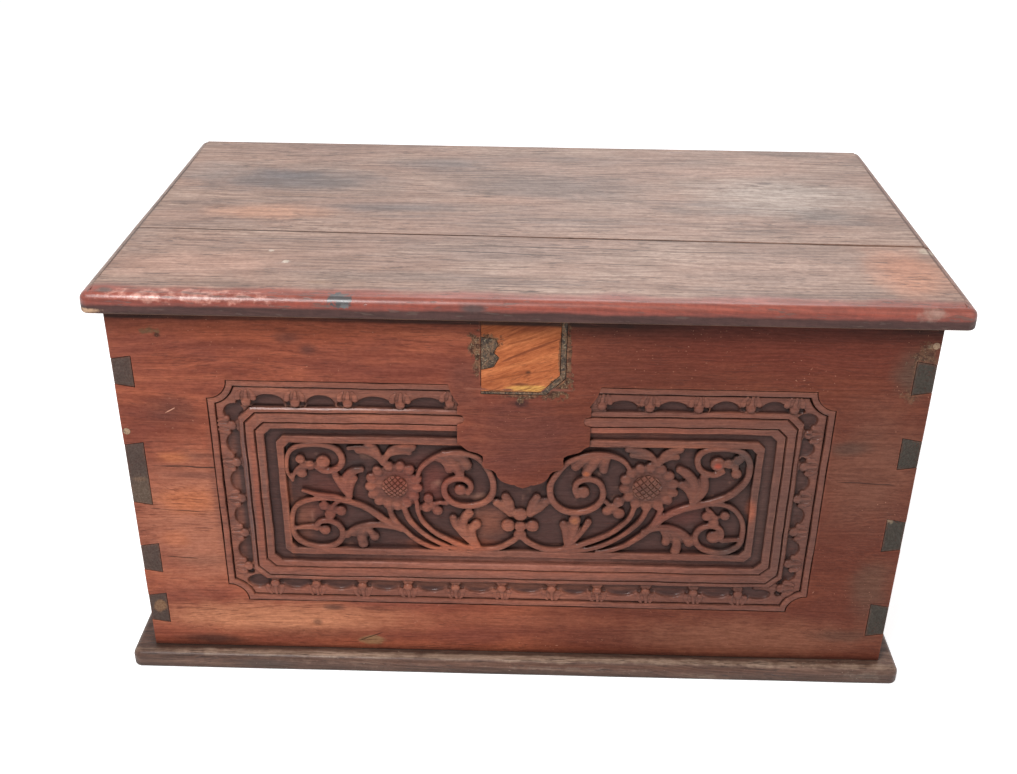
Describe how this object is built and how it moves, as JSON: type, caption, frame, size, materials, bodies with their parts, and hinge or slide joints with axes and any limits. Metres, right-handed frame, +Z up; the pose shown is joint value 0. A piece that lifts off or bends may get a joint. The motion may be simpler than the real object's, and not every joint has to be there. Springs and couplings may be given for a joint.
{
  "type": "blanket chest",
  "caption": "Small hardwood blanket chest: dovetailed box on a slab base, carved scrollwork front panel, hinged two-plank lid with a moulded edge.",
  "frame": {"origin": "middle of the underside, on the floor", "axes": "+X to the right along the length, -Y out of the carved front, +Z up"},
  "size_m": [0.762, 0.429, 0.408],
  "materials": {
    "body_wood": "old reddish brown oil and wax, worn satin",
    "lid_wood": "greyed pink-brown, worn, open grain, glossy at the moulded edge",
    "base_wood": "dark grey-brown, worn, glossy at the rounded edge",
    "patch_wood": "bare orange-tan, dull",
    "peg_wood": "dull end grain",
    "putty": "rough grey-brown filler",
    "iron": "dark aged iron with a little rust"
  },
  "bodies": {
    "case": {"front_board": "body_wood", "back_board": "body_wood", "left_side_board": "body_wood", "right_side_board": "body_wood", "lock_patch": "patch_wood", "lock_patch_putty": "putty", "tail_pegs": "peg_wood", "base_front_plank": "base_wood", "base_back_plank": "base_wood", "base_dowels": "peg_wood", "base_nails": "iron", "hinge_left_case_leaf": "iron", "hinge_right_case_leaf": "iron", "hinge_left_pin": "iron", "hinge_right_pin": "iron", "case_leaf_screws": "iron"},
    "lid": {"lid_front_plank": "lid_wood", "lid_back_plank": "lid_wood", "lid_dowels": "peg_wood", "lid_left_batten": "body_wood", "lid_right_batten": "body_wood", "batten_nails": "iron", "hinge_left_lid_leaf": "iron", "hinge_right_lid_leaf": "iron", "lid_leaf_screws": "iron"}
  },
  "joints": [
    {"name": "lid_hinge", "type": "hinge", "parent": "case", "child": "lid", "pos_m": [0, 0.2022, 0.388], "axis": [-1, 0, 0], "range_deg": [0, 105]}
  ]
}
